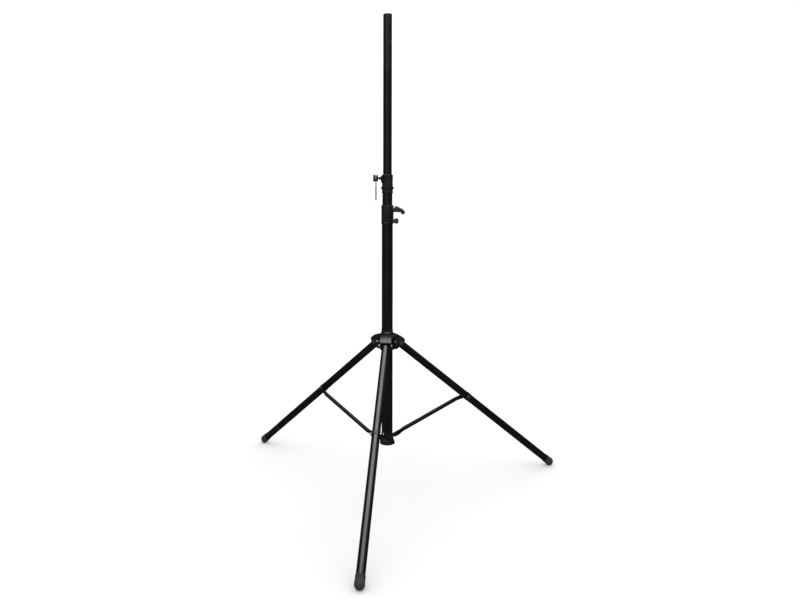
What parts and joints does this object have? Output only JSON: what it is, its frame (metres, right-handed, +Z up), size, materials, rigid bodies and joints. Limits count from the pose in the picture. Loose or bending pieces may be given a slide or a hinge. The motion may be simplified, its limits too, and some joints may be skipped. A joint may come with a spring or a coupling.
{
  "type": "speaker stand",
  "caption": "Folding tripod stand for a PA speaker: telescopic round mast with clamp collars, sliding leg carrier, side braces and rubber feet, one leg with a levelling foot.",
  "frame": {"origin": "on the floor, under the mast axis", "axes": "+Z up along the mast; +Y is the side of the hub lock knob, midway between the right and left legs; the front leg points close to -Y"},
  "size_m": [1.334, 1.1587, 1.892],
  "materials": {
    "satin_black_tube": "satin black powder coat",
    "black_moulding": "fine-grained black moulding",
    "black_knob": "hard black moulding, slightly glossy",
    "black_rubber": "matt black rubber",
    "zinc_steel": "zinc-plated steel",
    "bright_steel": "bright nickel-plated steel",
    "black_steel": "blackened steel",
    "brass": "plain brass",
    "nylon": "natural nylon"
  },
  "bodies": {
    "mast": {"main_tube": "satin_black_tube", "foot_plug": "black_moulding", "lower_hub": "black_moulding", "lower_hub_screws": "black_steel", "lower_collar": "black_moulding", "lower_clamp_insert": "brass", "lower_clamp_pad": "nylon", "plunger_barrel": "black_steel", "plunger_spring": "zinc_steel"},
    "middle": {"middle_tube": "satin_black_tube", "upper_collar": "black_moulding", "upper_clamp_insert": "brass", "upper_clamp_pad": "nylon"},
    "pole": {"top_tube": "satin_black_tube", "top_cap": "black_moulding"},
    "upper_knob": {"upper_clamp_screw": "black_steel", "upper_clamp_knob": "black_knob"},
    "lower_handle": {"lower_clamp_screw": "black_steel", "lower_clamp_handle": "black_knob"},
    "plunger": {"plunger_pin": "zinc_steel", "plunger_knob": "black_knob"},
    "safety_pin": {"safety_ring": "bright_steel", "safety_pin": "bright_steel"},
    "carrier": {"upper_hub": "black_moulding", "hub_liner": "nylon", "hub_ring": "black_moulding", "hub_screws": "zinc_steel", "hub_lock_insert": "brass", "hub_lock_pad": "nylon", "leg_bolts": "zinc_steel", "leg_bolt_nuts": "zinc_steel"},
    "lock_knob": {"hub_lock_screw": "black_steel", "hub_lock_knob": "black_knob"},
    "leg_front": {"leg_tube_front": "satin_black_tube", "leg_plug_front": "black_moulding", "saddle_front": "black_steel", "saddle_bolt_front": "zinc_steel", "foot_front": "black_rubber"},
    "brace_front": {"brace_front": "satin_black_tube", "brace_pin_front": "black_steel"},
    "leg_right": {"leg_tube_right": "satin_black_tube", "leg_plug_right": "black_moulding", "saddle_right": "black_steel", "saddle_bolt_right": "zinc_steel", "foot_right": "black_rubber"},
    "brace_right": {"brace_right": "satin_black_tube", "brace_pin_right": "black_steel"},
    "leg_left": {"leg_tube_left": "satin_black_tube", "leg_plug_left": "black_moulding", "saddle_left": "black_steel", "saddle_bolt_left": "zinc_steel"},
    "brace_left": {"brace_left": "satin_black_tube", "brace_pin_left": "black_steel"},
    "level_foot": {"level_tube_left": "zinc_steel", "level_sleeve_left": "black_moulding", "foot_left": "black_rubber"},
    "level_button": {"level_button_left": "zinc_steel"}
  },
  "joints": [
    {"name": "carrier_slide", "type": "slide", "parent": "mast", "child": "carrier", "axis": [0, 0, 1], "range_m": [0, 0.3493]},
    {"name": "leg_front_fold", "type": "hinge", "parent": "carrier", "child": "leg_front", "pos_m": [0.00305, -0.05141, 0.5835], "axis": [0.9982, 0.0593, 0], "range_deg": [-0.01, 50.97]},
    {"name": "brace_front_fold", "type": "hinge", "parent": "leg_front", "child": "brace_front", "pos_m": [0.04248, -0.3525, 0.33784], "axis": [0.9982, 0.0593, 0], "range_deg": [-115.94, 0.01]},
    {"name": "leg_right_fold", "type": "hinge", "parent": "carrier", "child": "leg_right", "pos_m": [0.0446, 0.02575, 0.5835], "axis": [-0.5, 0.866, 0], "range_deg": [-0.01, 50.97]},
    {"name": "brace_right_fold", "type": "hinge", "parent": "leg_right", "child": "brace_right", "pos_m": [0.29617, 0.19582, 0.33784], "axis": [-0.5, 0.866, 0], "range_deg": [-115.94, 0.01]},
    {"name": "leg_left_fold", "type": "hinge", "parent": "carrier", "child": "leg_left", "pos_m": [-0.0446, 0.02575, 0.5835], "axis": [-0.5, -0.866, 0], "range_deg": [-0.01, 50.97]},
    {"name": "brace_left_fold", "type": "hinge", "parent": "leg_left", "child": "brace_left", "pos_m": [-0.31767, 0.15858, 0.33784], "axis": [-0.5, -0.866, 0], "range_deg": [-115.94, 0.01]},
    {"name": "middle_slide", "type": "slide", "parent": "mast", "child": "middle", "axis": [0, 0, 1], "range_m": [-0.045, 0.6]},
    {"name": "pole_slide", "type": "slide", "parent": "middle", "child": "pole", "axis": [0, 0, 1], "range_m": [-0.6, 0.12]},
    {"name": "upper_knob_turn", "type": "hinge", "parent": "middle", "child": "upper_knob", "pos_m": [-0.05613, -0.0099, 1.2445], "axis": [-0.9848, -0.1736, 0], "range_deg": [-45, 540]},
    {"name": "lower_handle_turn", "type": "hinge", "parent": "mast", "child": "lower_handle", "pos_m": [0.05332, -0.02752, 1.118], "axis": [0.8886, -0.4587, 0], "range_deg": [-45, 540]},
    {"name": "lock_knob_turn", "type": "hinge", "parent": "carrier", "child": "lock_knob", "pos_m": [0, 0.06, 0.584], "axis": [0, 1, 0], "range_deg": [-45, 540]},
    {"name": "plunger_pull", "type": "slide", "parent": "mast", "child": "plunger", "axis": [0.8886, -0.4587, 0], "range_m": [0, 0.005], "stiffness_N_per_m": 600, "springref_m": -0.004, "deforming": ["plunger_spring"]},
    {"name": "safety_pin_swing", "type": "hinge", "parent": "middle", "child": "safety_pin", "pos_m": [-0.04481, -0.0079, 1.2445], "axis": [-0.9848, -0.1736, 0], "range_deg": [-60, 60]},
    {"name": "level_slide", "type": "slide", "parent": "leg_left", "child": "level_foot", "axis": [-0.6726, 0.3883, -0.6299], "range_m": [-0.004, 0.1]},
    {"name": "level_button_press", "type": "slide", "parent": "level_foot", "child": "level_button", "axis": [-0.5, -0.866, 0], "range_m": [0, 0.002], "stiffness_N_per_m": 400, "springref_m": -0.002}
  ],
  "couplings": [
    {"joint": "leg_front_fold", "follows": "carrier_slide", "rad_per_m": 2.5461},
    {"joint": "brace_front_fold", "follows": "carrier_slide", "rad_per_m": -5.7929},
    {"joint": "leg_right_fold", "follows": "carrier_slide", "rad_per_m": 2.5461},
    {"joint": "brace_right_fold", "follows": "carrier_slide", "rad_per_m": -5.7929},
    {"joint": "leg_left_fold", "follows": "carrier_slide", "rad_per_m": 2.5461},
    {"joint": "brace_left_fold", "follows": "carrier_slide", "rad_per_m": -5.7929}
  ]
}
